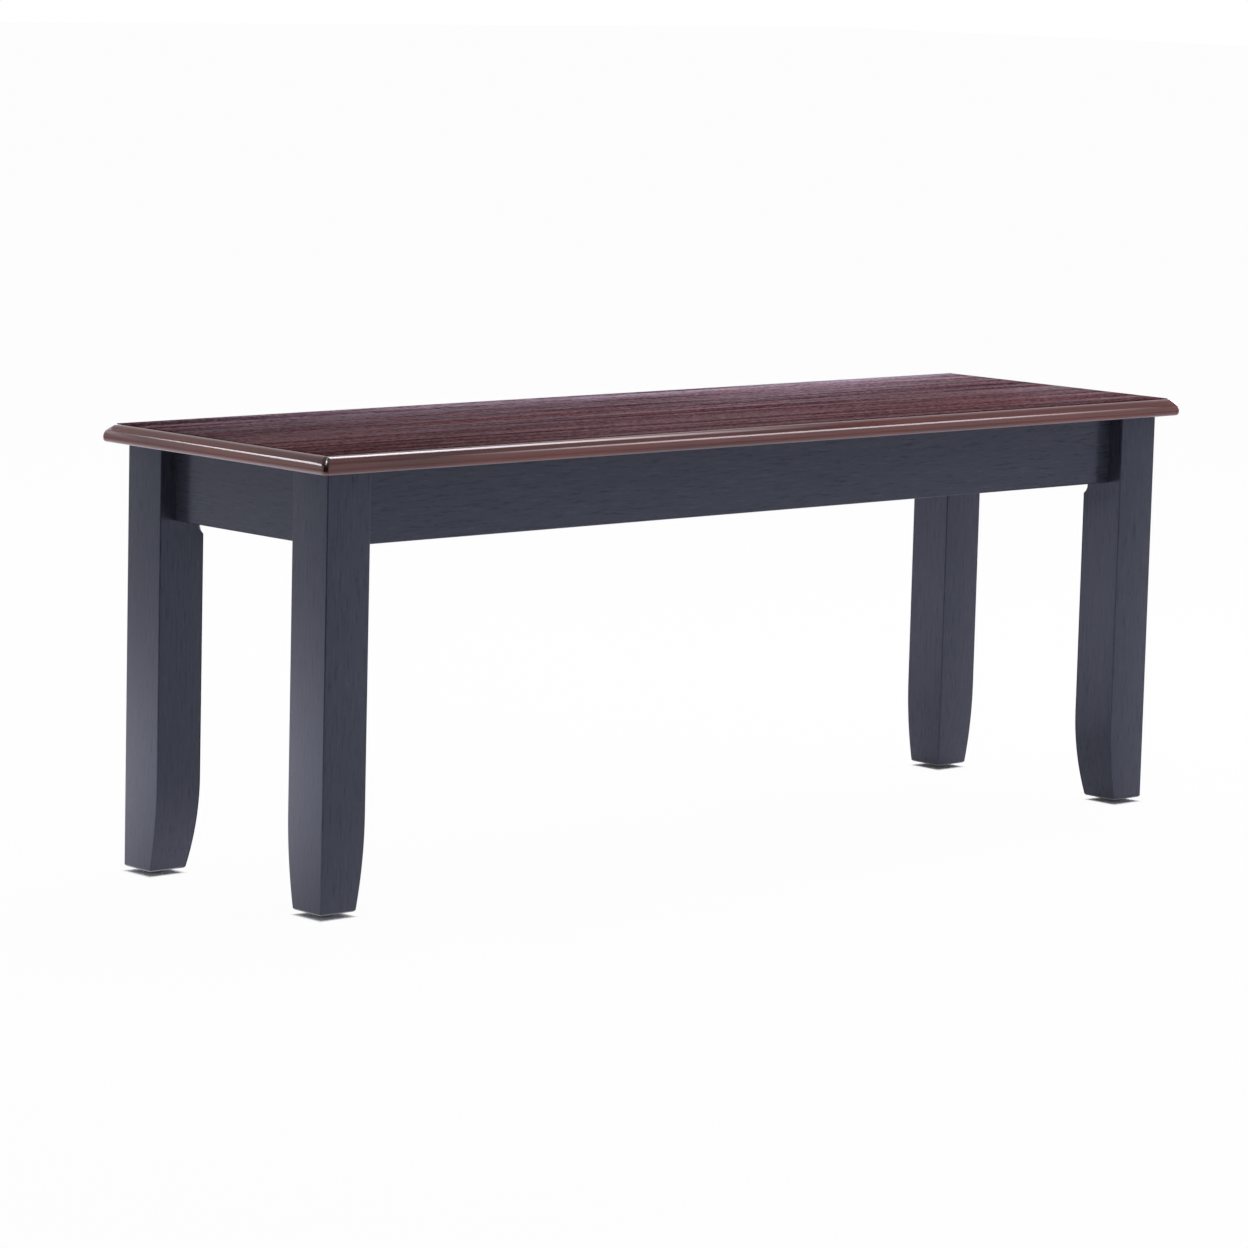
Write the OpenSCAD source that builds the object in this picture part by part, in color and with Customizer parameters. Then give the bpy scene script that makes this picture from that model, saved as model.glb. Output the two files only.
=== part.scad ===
// Dining bench: a veneered seat with a mitred edge moulding on a framed base with four square legs.
// Millimetres, Z up, floor at zero, centre of the footprint at the origin, length along X, front at minus Y.

/* [Overall size] */
// Length over the edge moulding
bench_length = 1220; // [900:10:1600]
// Depth over the edge moulding
bench_depth = 358; // [330:2:420]
// Height from the floor to the seat
bench_height = 455; // [400:1:520]

/* [Seat top] */
// Thickness of the finished top
top_thickness = 18.5; // [17.5:0.5:24]
// How far the nose of the moulding stands past the legs
top_overhang = 20; // [15:1:30]
// Thickness of each face sheet on the board
veneer_thickness = 0.6; // [0.4:0.1:1]

/* [Edge moulding] */
// Width from the nose to the arris beside the seat field
moulding_width = 11.5; // [10:0.5:15]
// Height of the rounded shoulder under the arris
shoulder_drop = 6.7; // [5.5:0.1:7.5]
// Radius of the rounded shoulder
shoulder_radius = 16; // [13:0.5:24]
// Radius of the lower bead
bead_radius = 11.9; // [9:0.1:16]
// Height of the nose, where the bead stands out most, above the underside
nose_height = 4.9; // [4:0.1:6]
// Flat that eases the bead into the underside
bead_easing = 1.1; // [0.6:0.1:1.6]
// Height of the small upright step above the bead
quirk_height = 0.4; // [0.3:0.1:0.9]
// Width of the small flat ledge on top of the bead
quirk_ledge = 0.3; // [0.2:0.1:0.8]
// Thickness of the tongue that enters the board
tongue_thickness = 4; // [3:0.5:5]
// Length of the tongue
tongue_length = 5; // [4:0.5:7]

/* [Legs] */
// Width of the square leg
leg_width = 54; // [50:1:64]
// Height over which the two inner faces curve in towards the foot
taper_height = 95; // [60:5:140]
// How far each inner face has come in at the foot
taper_depth = 10.7; // [6:0.1:13]
// Small flat on the long edges of the leg
leg_easing = 0.8; // [0.4:0.1:1.4]
// Bevel around the bottom of the foot
foot_easing = 1.8; // [1:0.2:3.2]
// Flat on the inner corner, where the corner block bears, measured along each face
corner_chamfer = 5.5; // [4:0.5:8]
// Radius left by the cutter at the lower end of that flat
cutter_radius = 11; // [8:0.5:14]
// Distance from the apron's lower edge down to where the flat begins to run out
chamfer_tail = 6.5; // [2:0.5:10]

/* [Aprons] */
// Height of the apron boards
apron_height = 75; // [70:1:95]
// Thickness of the apron boards
apron_thickness = 20; // [18:1:22]
// How far the apron's face stands back from the leg's outer face
apron_recess = 18.6; // [12:0.2:20]
// Small flat on the apron's lower edges
apron_easing = 0.8; // [0.4:0.1:1.4]

/* [Corner blocks] */
// Thickness of the block across the corner
block_thickness = 22; // [20:1:28]
// Height of the block
block_height = 55; // [50:1:62]

/* [Cross rail] */
// Width of the flat rail under the middle of the seat
rail_width = 60; // [50:1:80]
// Thickness of the rail
rail_thickness = 20; // [18:1:24]
// Depth of the housing in each long apron that takes the rail's end
housing_depth = 5; // [3:0.5:7]

/* [Hardware] */
// Diameter of the hanger bolts
bolt_diameter = 8; // [6:1:8]
// Length of the bolt's wood thread in the leg
bolt_embed = 40; // [30:1:42]
// Distance between the two bolts in a leg
bolt_spacing = 27; // [22:1:30]
// Thickness of the plain washer
washer_thickness = 1.6; // [1:0.2:2]
// Diameter of the plain washer
washer_diameter = 18; // [16:1:20]
// Width across the flats of the hexagon nut
nut_across_flats = 13; // [12:0.5:14]
// Thickness of the hexagon nut
nut_thickness = 6.5; // [5:0.5:7]
// Outside diameter of the wood screws
screw_diameter = 4; // [3.5:0.25:4.5]
// Head diameter of the wood screws
screw_head = 8; // [7.5:0.5:8.5]
// Pitch of the wood screws
screw_pitch = 2.4; // [2:0.1:3]
// Length of the wood screws' point
screw_point = 2.6; // [2:0.1:3.4]
// Pitch of the bolt's wood thread
bolt_pitch = 3.2; // [2.6:0.1:3.6]
// Length of the bolt's point
bolt_point = 5; // [4:0.5:7]
// How far the bolt stands out past its nut
bolt_proud = 3; // [1:0.5:5]

/* [Screw places] */
// Depth to which the side screws' heads are sunk in the block
side_seat = 8; // [5:0.5:11]
// Height of the side screws in from the block's upper and lower faces
side_margin = 13; // [10:0.5:16]
// Depth to which the lifting screws' heads are sunk below the seat's underside
lift_seat = 20; // [16:1:26]
// Distance of the lifting screws from the corner's diagonal
lift_offset = 13; // [11:0.5:16]
// Distance of the outer seat screws in from the rail's ends
rail_screw_inset = 45; // [35:1:60]
// Distance of the angled screws in from the rail's long edges
pocket_inset = 12; // [10:0.5:15]
// Depth to which the angled screws' heads are sunk along their own length
pocket_back = 22; // [19:0.5:26]
// Wood left in front of the screw points in the aprons
apron_cover = 3; // [2:0.5:5]
// Wood left in front of the screw points in the seat
seat_cover = 6; // [5:0.5:8]

/* [Floor glides] */
// Height of the glide under the leg
glide_height = 5; // [4:0.5:8]
// Diameter of the glide
glide_diameter = 22; // [18:1:26]
// Rounding of the glide's lower rim
glide_rim = 2; // [1:0.2:3]
// Diameter of the nail in the glide
nail_diameter = 2.6; // [2:0.2:3]
// Length of the nail in the leg
nail_embed = 16; // [12:1:20]

/* [Hidden] */
$fn = 48;
// Play around a shank, thread or tongue
play = 0.15;
// Room between the corner block and the leg, taken up by the bolts
draw_gap = 0.3;
// Overlap used where two cutting shapes have to cross
over = 1;
// Angle between the leg's inner face and the start of its curve
curve_start = 0.6;

half_length = bench_length / 2;
half_depth = bench_depth / 2;
seat_under = bench_height - top_thickness;
field_length = bench_length - 2 * moulding_width;
field_depth = bench_depth - 2 * moulding_width;
core_thickness = top_thickness - 2 * veneer_thickness;
core_base = seat_under + veneer_thickness;

// Moulding profile, from the joint with the board at zero out to the nose
shoulder_base = top_thickness - shoulder_drop;
bead_height = shoulder_base - quirk_height;
bead_x = moulding_width - bead_radius;
bead_top = bead_x + sqrt(pow(bead_radius, 2) - pow(bead_height - nose_height, 2));
bead_foot = bead_x + sqrt(pow(bead_radius, 2) - pow(nose_height, 2));
shoulder_end = bead_top - quirk_ledge;
shoulder_chord = sqrt(pow(shoulder_end, 2) + pow(shoulder_drop, 2));
shoulder_offset = sqrt(pow(shoulder_radius, 2) - pow(shoulder_chord / 2, 2));
shoulder_x = shoulder_end / 2 - shoulder_offset * shoulder_drop / shoulder_chord;
shoulder_z = top_thickness - shoulder_drop / 2 - shoulder_offset * shoulder_end / shoulder_chord;
tongue_z = (top_thickness - tongue_thickness) / 2;
groove_depth = tongue_length + 2 * play;
groove_height = tongue_thickness + 2 * play;

// Frame rectangle over the outer faces of the legs
frame_x = half_length - top_overhang;
frame_y = half_depth - top_overhang;
leg_base = glide_height;
leg_top = seat_under;
foot_width = leg_width - taper_depth;
taper_top = leg_base + taper_height;
curve_radius = (pow(taper_depth, 2) + pow(taper_height, 2))
    / (2 * (taper_depth * cos(curve_start) - taper_height * sin(curve_start)));
curve_x = leg_width - curve_radius * cos(curve_start);
curve_z = taper_top + curve_radius * sin(curve_start);

apron_base = seat_under - apron_height;
apron_inner = apron_recess + apron_thickness;
long_apron = 2 * (frame_x - leg_width);
short_apron = 2 * (frame_y - leg_width);
inner_y = frame_y - apron_inner;

// Corner joint, along the diagonal from the outer corner of the leg
chamfer_at = (2 * leg_width - corner_chamfer) / sqrt(2);
chamfer_end = apron_base - chamfer_tail;
block_front = chamfer_at + draw_gap;
block_back = block_front + block_thickness;
block_base = seat_under - block_height;
front_sum = block_front * sqrt(2);
back_sum = block_back * sqrt(2);
bolt_low = block_base + (block_height - bolt_spacing) / 2;
bolt_heights = [bolt_low, bolt_low + bolt_spacing];
bolt_tip = chamfer_at - bolt_embed;
nut_at = block_back + washer_thickness;
bolt_end = nut_at + nut_thickness + bolt_proud;
nut_radius = nut_across_flats / 2 / cos(30);
collar_length = 3;
thread_start = bolt_tip + bolt_point;
thread_turns = floor((chamfer_at - collar_length - thread_start) / bolt_pitch - 0.5);

// Screws through the block into the aprons
head_rim = 0.5;
head_height = head_rim + (screw_head - screw_diameter) / 2;
slot_width = 1;
slot_depth = 1.7;
side_screw_x = back_sum - apron_inner - side_seat - screw_head / 2 - over;
side_screw_length = side_seat + apron_thickness - apron_cover;
side_heights = [block_base + side_margin, block_base + block_height - side_margin];
// Screws up into the seat
seat_bite = top_thickness - seat_cover;
lift_length = lift_seat + seat_bite;
lift_u = (block_front + block_back) / 2;
// Rail
rail_half = inner_y + housing_depth - play;
rail_base = seat_under - rail_thickness;
rail_screw_length = rail_thickness + seat_bite;
rail_screw_y = [-(inner_y - rail_screw_inset), 0, inner_y - rail_screw_inset];
// Angled screws at the rail's ends
pocket_angle = 15;
pocket_z = seat_under - rail_thickness / 2;
pocket_length = pocket_back + (apron_thickness - housing_depth) - apron_cover - over;
pocket_x = rail_width / 2 - pocket_inset;

// Glides
glide_x = foot_width / 2;
nail_head = nail_diameter * 2.4;
nail_recess = 1.2;
nail_head_height = 1.2;
nail_easing = 0.3;

black = [0.12, 0.12, 0.14];
walnut = [0.30, 0.17, 0.16];
brown = [0.42, 0.27, 0.24];
pale_wood = [0.76, 0.62, 0.45];
board = [0.66, 0.54, 0.42];
steel = [0.62, 0.63, 0.65];
brass = [0.72, 0.64, 0.42];
nylon = [0.20, 0.20, 0.22];

// Puts what is drawn for the front left corner at any corner
module at_corner(side, face) {
    mirror([side > 0 ? 1 : 0, 0, 0])
        mirror([0, face > 0 ? 1 : 0, 0])
            translate([-frame_x, -frame_y, 0])
                children();
}

// Repeats what is drawn for the front left corner at all four
module at_all_corners() {
    for (side = [-1, 1]) {
        for (face = [-1, 1]) {
            at_corner(side, face) children();
        }
    }
}

// Turns a shape that stands along Z so that it lies along the corner's diagonal
module on_diagonal(distance, height) {
    rotate([0, 0, 45])
        translate([distance, 0, height])
            rotate([0, 90, 0])
                children();
}

// Countersunk wood screw, head flush at zero, pointing down
module wood_screw(length) {
    root = screw_diameter * 0.36;
    crest = screw_diameter / 2;
    plain = head_height + length * 0.28;
    turns = floor((length - plain - screw_point) / screw_pitch - 0.5);
    difference() {
        rotate_extrude()
            polygon(concat(
                [[0, 0], [screw_head / 2, 0], [screw_head / 2, -head_rim], [crest, -head_height]],
                [[crest, -plain]],
                [for (i = [0:turns - 1], s = [0, 1])
                    [s == 0 ? root : crest, -plain - (i + 0.35 + s * 0.45) * screw_pitch]],
                [[root, -plain - (turns + 0.2) * screw_pitch], [root, -length + screw_point], [0, -length]]
            ));
        for (turn = [0, 90]) {
            rotate([0, 0, turn])
                translate([-screw_head * 0.27, -slot_width / 2, -slot_depth])
                    cube([screw_head * 0.54, slot_width, slot_depth + over]);
        }
    }
}

// Hole for that screw, with room for the head and a pocket above it
module screw_hole(length, pocket) {
    crest = screw_diameter / 2 + play;
    head = screw_head / 2 + play;
    rotate_extrude()
        polygon([
            [0, pocket], [head, pocket], [head, -head_rim], [crest, -head_height],
            [crest, -length - 4 * play], [0, -length - 4 * play]
        ]);
}

// Section of the edge moulding: rounded shoulder, small step, bead eased below, and tongue
module moulding_section() {
    union() {
        square([shoulder_end, shoulder_base - quirk_height / 2]);
        intersection() {
            translate([shoulder_x, shoulder_z]) circle(r = shoulder_radius);
            square([shoulder_end, top_thickness + over]);
        }
        difference() {
            intersection() {
                translate([bead_x, nose_height]) circle(r = bead_radius);
                square([moulding_width + over, bead_height]);
            }
            polygon([
                [bead_foot - bead_easing - over, -over], [moulding_width + over, -over],
                [moulding_width + over, moulding_width + over - bead_foot + bead_easing]
            ]);
        }
        translate([-tongue_length, tongue_z]) square([tongue_length + over, tongue_thickness]);
    }
}

// A run of moulding along X with its nose towards minus Y, mitred at both ends
module moulding_run(run, reach) {
    deep = moulding_width + tongue_length + over;
    intersection() {
        translate([-run / 2 - over, -reach + moulding_width, seat_under])
            rotate([90, 0, 90])
                mirror([1, 0, 0])
                    linear_extrude(run + 2 * over) moulding_section();
        translate([0, 0, seat_under - over])
            linear_extrude(top_thickness + 2 * over)
                polygon([
                    [-run / 2, -reach], [run / 2, -reach],
                    [run / 2 - deep, -reach + deep], [-run / 2 + deep, -reach + deep]
                ]);
    }
}

module moulding_front() {
    color(brown) moulding_run(bench_length, half_depth);
}

module moulding_rear() {
    color(brown) rotate([0, 0, 180]) moulding_run(bench_length, half_depth);
}

module moulding_left() {
    color(brown) rotate([0, 0, 270]) moulding_run(bench_depth, half_length);
}

module moulding_right() {
    color(brown) rotate([0, 0, 90]) moulding_run(bench_depth, half_length);
}

// Where the screws enter the seat from below
module seat_screw_places() {
    at_all_corners()
        rotate([0, 0, 45])
            translate([lift_u, lift_offset, seat_under - lift_seat])
                rotate([180, 0, 0])
                    children();
    for (y = rail_screw_y) {
        translate([0, y, rail_base])
            rotate([180, 0, 0])
                children();
    }
}

// Every seat screw hole drawn long enough for both kinds
module seat_pilots() {
    at_all_corners()
        rotate([0, 0, 45])
            translate([lift_u, lift_offset, seat_under - lift_seat])
                rotate([180, 0, 0])
                    screw_hole(lift_length, 0);
    for (y = rail_screw_y) {
        translate([0, y, rail_base])
            rotate([180, 0, 0])
                screw_hole(rail_screw_length, 0);
    }
}

// Grooved board between the mouldings
module seat_core() {
    color(board)
        difference() {
            translate([-field_length / 2, -field_depth / 2, core_base])
                cube([field_length, field_depth, core_thickness]);
            translate([0, 0, seat_under + top_thickness / 2 - groove_height / 2])
                difference() {
                    linear_extrude(groove_height)
                        square([field_length + 2 * over, field_depth + 2 * over], center = true);
                    translate([0, 0, -over])
                        linear_extrude(groove_height + 2 * over)
                            square([field_length - 2 * groove_depth, field_depth - 2 * groove_depth],
                                center = true);
                }
            seat_pilots();
        }
}

module seat_face_veneer() {
    color(walnut)
        translate([-field_length / 2, -field_depth / 2, bench_height - veneer_thickness])
            cube([field_length, field_depth, veneer_thickness]);
}

module seat_back_veneer() {
    color(board)
        difference() {
            translate([-field_length / 2, -field_depth / 2, seat_under])
                cube([field_length, field_depth, veneer_thickness]);
            seat_pilots();
        }
}

// Side view of the leg: straight outer face, curved inner face, bevelled foot
module leg_outline() {
    difference() {
        union() {
            translate([0, taper_top]) square([leg_width, leg_top - taper_top]);
            intersection() {
                translate([0, leg_base]) square([leg_width, taper_height + over]);
                translate([curve_x, curve_z]) circle(r = curve_radius, $fn = 720);
            }
        }
        polygon([
            [-over, leg_base - over], [foot_easing + over, leg_base - over],
            [-over, leg_base + foot_easing + over]
        ]);
        polygon([
            [foot_width + over, leg_base - over], [foot_width - foot_easing - over, leg_base - over],
            [foot_width + over, leg_base + foot_easing + over]
        ]);
    }
}

// Flat on the inner corner with the curved end that the cutter leaves
module corner_flat() {
    side = leg_width * 0.6;
    start = 3;
    rotate([0, 0, 45])
        rotate([90, 0, 0])
            translate([0, 0, -side / 2])
                linear_extrude(side)
                    union() {
                        translate([chamfer_at, chamfer_end])
                            square([cutter_radius, leg_top - chamfer_end + over]);
                        intersection() {
                            translate([chamfer_at, chamfer_end - cutter_radius])
                                square([cutter_radius, cutter_radius + over]);
                            translate([
                                chamfer_at + cutter_radius * cos(start),
                                chamfer_end + cutter_radius * sin(start)
                            ])
                                circle(r = cutter_radius, $fn = 96);
                        }
                    }
}

// Leg at the front left corner, its outer corner on the origin
module leg() {
    e = leg_easing;
    w = leg_width;
    difference() {
        intersection() {
            translate([0, w, 0])
                rotate([90, 0, 0])
                    linear_extrude(w) leg_outline();
            rotate([90, 0, 90])
                linear_extrude(w) leg_outline();
            translate([0, 0, leg_base - over])
                linear_extrude(leg_top - leg_base + 2 * over)
                    polygon([[e, 0], [w - e, 0], [w, e], [w, w - e], [w - e, w], [e, w], [0, w - e], [0, e]]);
        }
        corner_flat();
        for (z = bolt_heights) {
            on_diagonal(bolt_tip - 2, z)
                cylinder(d = bolt_diameter + 2 * play, h = bolt_embed + 2 + over);
        }
        translate([glide_x, glide_x, leg_base - over])
            cylinder(d = nail_diameter + 2 * play, h = nail_embed + 2 * over, $fn = 24);
    }
}

module leg_front_left() {
    color(black) at_corner(-1, -1) leg();
}

module leg_front_right() {
    color(black) at_corner(1, -1) leg();
}

module leg_rear_left() {
    color(black) at_corner(-1, 1) leg();
}

module leg_rear_right() {
    color(black) at_corner(1, 1) leg();
}

// Places of the screws that hold one block, for the front left corner
module block_screw_places() {
    for (z = side_heights) {
        translate([side_screw_x, apron_inner + side_seat, z])
            rotate([-90, 0, 0])
                children();
        translate([apron_inner + side_seat, side_screw_x, z])
            rotate([0, 90, 0])
                children();
    }
}

// Places of the angled screws at both ends of the rail
module rail_end_places() {
    for (end = [0, 180], x = [-pocket_x, pocket_x]) {
        rotate([0, 0, end])
            translate([x, inner_y + housing_depth, pocket_z])
                rotate([pocket_angle, 0, 0])
                    translate([0, -pocket_back, 0])
                        rotate([90, 0, 0])
                            children();
    }
}

// Board along X, its face towards minus Y
module apron_board(length) {
    e = apron_easing;
    t = apron_thickness;
    translate([-length / 2, 0, 0])
        rotate([90, 0, 90])
            linear_extrude(length)
                polygon([
                    [e, apron_base], [t - e, apron_base], [t, apron_base + e],
                    [t, seat_under], [0, seat_under], [0, apron_base + e]
                ]);
}

// Long apron with the housing for the cross rail
module long_apron_piece() {
    difference() {
        translate([0, -frame_y + apron_recess, 0]) apron_board(long_apron);
        translate([-rail_width / 2 - play, -inner_y - housing_depth, rail_base - play])
            cube([rail_width + 2 * play, housing_depth + over, rail_thickness + play + over]);
        for (side = [-1, 1]) {
            at_corner(side, -1)
                for (z = side_heights) {
                    translate([side_screw_x, apron_inner + side_seat, z])
                        rotate([-90, 0, 0])
                            screw_hole(side_screw_length, 0);
                }
        }
        rail_end_places() screw_hole(pocket_length, 0);
    }
}

// Short apron, drawn at the left end
module short_apron_piece() {
    difference() {
        rotate([0, 0, -90])
            translate([0, -frame_x + apron_recess, 0]) apron_board(short_apron);
        for (face = [-1, 1]) {
            at_corner(-1, face)
                for (z = side_heights) {
                    translate([apron_inner + side_seat, side_screw_x, z])
                        rotate([0, 90, 0])
                            screw_hole(side_screw_length, 0);
                }
        }
    }
}

module apron_front() {
    color(black) long_apron_piece();
}

module apron_rear() {
    color(black) mirror([0, 1, 0]) long_apron_piece();
}

module apron_left() {
    color(black) short_apron_piece();
}

module apron_right() {
    color(black) mirror([1, 0, 0]) short_apron_piece();
}

// Corner block at the front left corner
module corner_block() {
    a = apron_inner;
    difference() {
        translate([0, 0, block_base])
            linear_extrude(block_height)
                polygon([[front_sum - a, a], [back_sum - a, a], [a, back_sum - a], [a, front_sum - a]]);
        for (z = bolt_heights) {
            on_diagonal(block_front - over, z)
                cylinder(d = bolt_diameter + 4 * play, h = block_thickness + 2 * over);
        }
        block_screw_places() screw_hole(side_screw_length, block_thickness * 2);
        rotate([0, 0, 45])
            translate([lift_u, lift_offset, seat_under - lift_seat])
                rotate([180, 0, 0])
                    screw_hole(lift_length, block_height);
    }
}

module block_front_left() {
    color(pale_wood) at_corner(-1, -1) corner_block();
}

module block_front_right() {
    color(pale_wood) at_corner(1, -1) corner_block();
}

module block_rear_left() {
    color(pale_wood) at_corner(-1, 1) corner_block();
}

module block_rear_right() {
    color(pale_wood) at_corner(1, 1) corner_block();
}

// Flat rail between the long aprons, under the middle of the seat
module cross_rail() {
    color(pale_wood)
        difference() {
            translate([-rail_width / 2, -rail_half, rail_base])
                cube([rail_width, 2 * rail_half, rail_thickness]);
            for (y = rail_screw_y) {
                translate([0, y, rail_base])
                    rotate([180, 0, 0])
                        screw_hole(rail_screw_length, over);
            }
            rail_end_places() screw_hole(pocket_length, pocket_back * 2);
        }
}

// Domed glide under a leg, with a stepped hole for its nail
module glide() {
    r = glide_diameter / 2;
    h = glide_height;
    rim = glide_rim;
    translate([glide_x, glide_x, 0])
        rotate_extrude()
            polygon([
                [nail_head / 2 + play, 0], [r - rim, 0], [r - rim * 0.55, rim * 0.12],
                [r - rim * 0.2, rim * 0.45], [r, rim], [r, h - rim / 5], [r - rim / 5, h],
                [nail_diameter / 2 + play, h],
                [nail_diameter / 2 + play, nail_recess + nail_head_height],
                [nail_head / 2 + play, nail_recess + nail_head_height]
            ]);
}

module glide_front_left() {
    color(nylon) at_corner(-1, -1) glide();
}

module glide_front_right() {
    color(nylon) at_corner(1, -1) glide();
}

module glide_rear_left() {
    color(nylon) at_corner(-1, 1) glide();
}

module glide_rear_right() {
    color(nylon) at_corner(1, 1) glide();
}

// One nail in each glide
module glide_nails() {
    r = nail_diameter / 2;
    z = nail_recess;
    tip = leg_base + nail_embed;
    color(steel)
        at_all_corners()
            translate([glide_x, glide_x, 0])
                rotate_extrude($fn = 32)
                    polygon([
                        [0, z], [nail_head / 2 - nail_easing, z], [nail_head / 2, z + nail_easing],
                        [nail_head / 2, z + nail_head_height], [r, z + nail_head_height],
                        [r, tip - nail_head / 2], [0, tip]
                    ]);
}

// Hanger bolts: ridged wood thread in the leg, plain machine thread through the block
module hanger_bolts() {
    r = bolt_diameter / 2;
    root = r * 0.74;
    color(steel)
        at_all_corners()
            for (z = bolt_heights) {
                on_diagonal(0, z)
                    rotate_extrude()
                        polygon(concat(
                            [[0, bolt_tip], [root, thread_start]],
                            [for (i = [0:thread_turns - 1], s = [0, 1, 2])
                                [s == 1 ? r : root, thread_start + (i + 0.12 + s * 0.3) * bolt_pitch]],
                            [[root, chamfer_at - collar_length], [r, chamfer_at - collar_length + over]],
                            [[r, bolt_end - over], [r - over, bolt_end], [0, bolt_end]]
                        ));
            }
}

module bolt_washers() {
    color(steel)
        at_all_corners()
            for (z = bolt_heights) {
                on_diagonal(block_back, z)
                    rotate_extrude()
                        translate([bolt_diameter / 2 + 2 * play, 0])
                            square([washer_diameter / 2 - bolt_diameter / 2 - 2 * play, washer_thickness]);
            }
}

// Hexagon nuts with both rims turned to a cone
module bolt_nuts() {
    flat = nut_across_flats / 2;
    h = nut_thickness;
    drop = (nut_radius - flat) * 0.6;
    color(steel)
        at_all_corners()
            for (z = bolt_heights) {
                on_diagonal(nut_at, z)
                    difference() {
                        intersection() {
                            cylinder(r = nut_radius, h = h, $fn = 6);
                            rotate_extrude()
                                polygon([
                                    [0, 0], [flat, 0], [nut_radius + play, drop],
                                    [nut_radius + play, h - drop], [flat, h], [0, h]
                                ]);
                        }
                        translate([0, 0, -over])
                            cylinder(d = bolt_diameter + 2 * play, h = h + 2 * over);
                    }
            }
}

module block_screws() {
    color(brass)
        at_all_corners()
            block_screw_places() wood_screw(side_screw_length);
}

// Screws that hold the seat: one through each block and three through the rail
module seat_screws() {
    color(brass) {
        at_all_corners()
            rotate([0, 0, 45])
                translate([lift_u, lift_offset, seat_under - lift_seat])
                    rotate([180, 0, 0])
                        wood_screw(lift_length);
        for (y = rail_screw_y) {
            translate([0, y, rail_base])
                rotate([180, 0, 0])
                    wood_screw(rail_screw_length);
        }
    }
}

module rail_end_screws() {
    color(brass) rail_end_places() wood_screw(pocket_length);
}

seat_core();
seat_face_veneer();
seat_back_veneer();
moulding_front();
moulding_rear();
moulding_left();
moulding_right();
apron_front();
apron_rear();
apron_left();
apron_right();
leg_front_left();
leg_front_right();
leg_rear_left();
leg_rear_right();
block_front_left();
block_front_right();
block_rear_left();
block_rear_right();
cross_rail();
glide_front_left();
glide_front_right();
glide_rear_left();
glide_rear_right();
glide_nails();
hanger_bolts();
bolt_washers();
bolt_nuts();
block_screws();
seat_screws();
rail_end_screws();
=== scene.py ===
"""Dining bench: smooth visual pieces and wood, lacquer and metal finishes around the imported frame.

Everything is in metres, in the frame's own axes: X along the seat, Y to the rear, Z up, floor at zero.
"""

import math
from typing import NamedTuple

import bpy
import numpy as np
from mathutils import Matrix, Vector


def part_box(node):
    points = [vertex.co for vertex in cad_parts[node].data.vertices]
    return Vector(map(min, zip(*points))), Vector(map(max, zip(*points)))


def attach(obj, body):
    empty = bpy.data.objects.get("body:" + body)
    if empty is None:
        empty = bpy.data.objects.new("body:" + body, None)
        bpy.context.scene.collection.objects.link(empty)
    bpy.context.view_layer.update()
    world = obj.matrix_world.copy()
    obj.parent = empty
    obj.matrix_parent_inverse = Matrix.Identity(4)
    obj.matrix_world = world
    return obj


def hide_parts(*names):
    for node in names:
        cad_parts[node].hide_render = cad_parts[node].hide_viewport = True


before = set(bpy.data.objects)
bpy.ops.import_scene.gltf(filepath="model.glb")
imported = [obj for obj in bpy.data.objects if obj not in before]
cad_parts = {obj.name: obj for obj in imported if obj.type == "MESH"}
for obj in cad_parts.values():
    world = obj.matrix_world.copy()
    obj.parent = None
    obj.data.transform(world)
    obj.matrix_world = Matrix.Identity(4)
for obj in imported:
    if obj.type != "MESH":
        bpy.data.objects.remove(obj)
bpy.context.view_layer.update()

bl_info = {
    "name": "Dining Bench",
    "version": (1, 0, 0),
    "blender": (4, 5, 0),
    "location": "3D View > Sidebar > Bench",
    "description": "Builds the looks of a lacquered dining bench around its packed frame",
    "category": "Add Mesh",
}

MM = 0.001

PHOTO_SIDE = 1248
SENSOR_WIDTH = 36.0
VIEW_DISTANCE = 100.0

SIDES = ("left", "right")
ENDS = ("front", "rear")
CORNERS = [(end, side) for end in ENDS for side in SIDES]

# Into how many points each curve is cut.
SHOULDER_STEPS = (16, 8)
BEAD_STEPS = 40
BEAD_FOOT_STEPS = 14
MITRE_STEPS = 11
RUN_STEPS = 33
TAPER_STEPS = 30
POST_STEPS = 8
CUTTER_STEPS = 10
TOP_STEPS = 5
ARRIS_STEPS = 7
LOWER_RIM_STEPS = 9
UPPER_RIM_STEPS = 5
TURNED_STEPS = 64

SHARP_ANGLE = math.radians(30)
NAIL_HEAD_TO_SHANK = 2.4

# The turn that lays each axis along X, where the grain runs.
GRAIN_TURN = {"X": (0.0, 0.0, 0.0), "Y": (0.0, 0.0, -math.pi / 2), "Z": (0.0, math.pi / 2, 0.0)}


def linear(code):
    """Linear colour with alpha from an sRGB hex code: each channel is raised by the sRGB curve."""
    channels = np.array([int(code[i:i + 2], 16) for i in (0, 2, 4)]) / 255
    low = channels / 12.92
    high = ((channels + 0.055) / 1.055) ** 2.4
    return (*np.where(channels <= 0.04045, low, high).tolist(), 1.0)


def box_size(node):
    """Length of a node's box along each axis."""
    low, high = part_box(node)
    return high - low


def length_property(name, description, value):
    """A length in metres."""
    return bpy.props.FloatProperty(
        name=name, description=description, default=value, min=0.0, subtype="DISTANCE", unit="LENGTH"
    )


def angle_property(name, description, degrees):
    """An angle, given in degrees and kept in radians."""
    return bpy.props.FloatProperty(
        name=name, description=description, default=math.radians(degrees), subtype="ANGLE", unit="ROTATION"
    )


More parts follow.
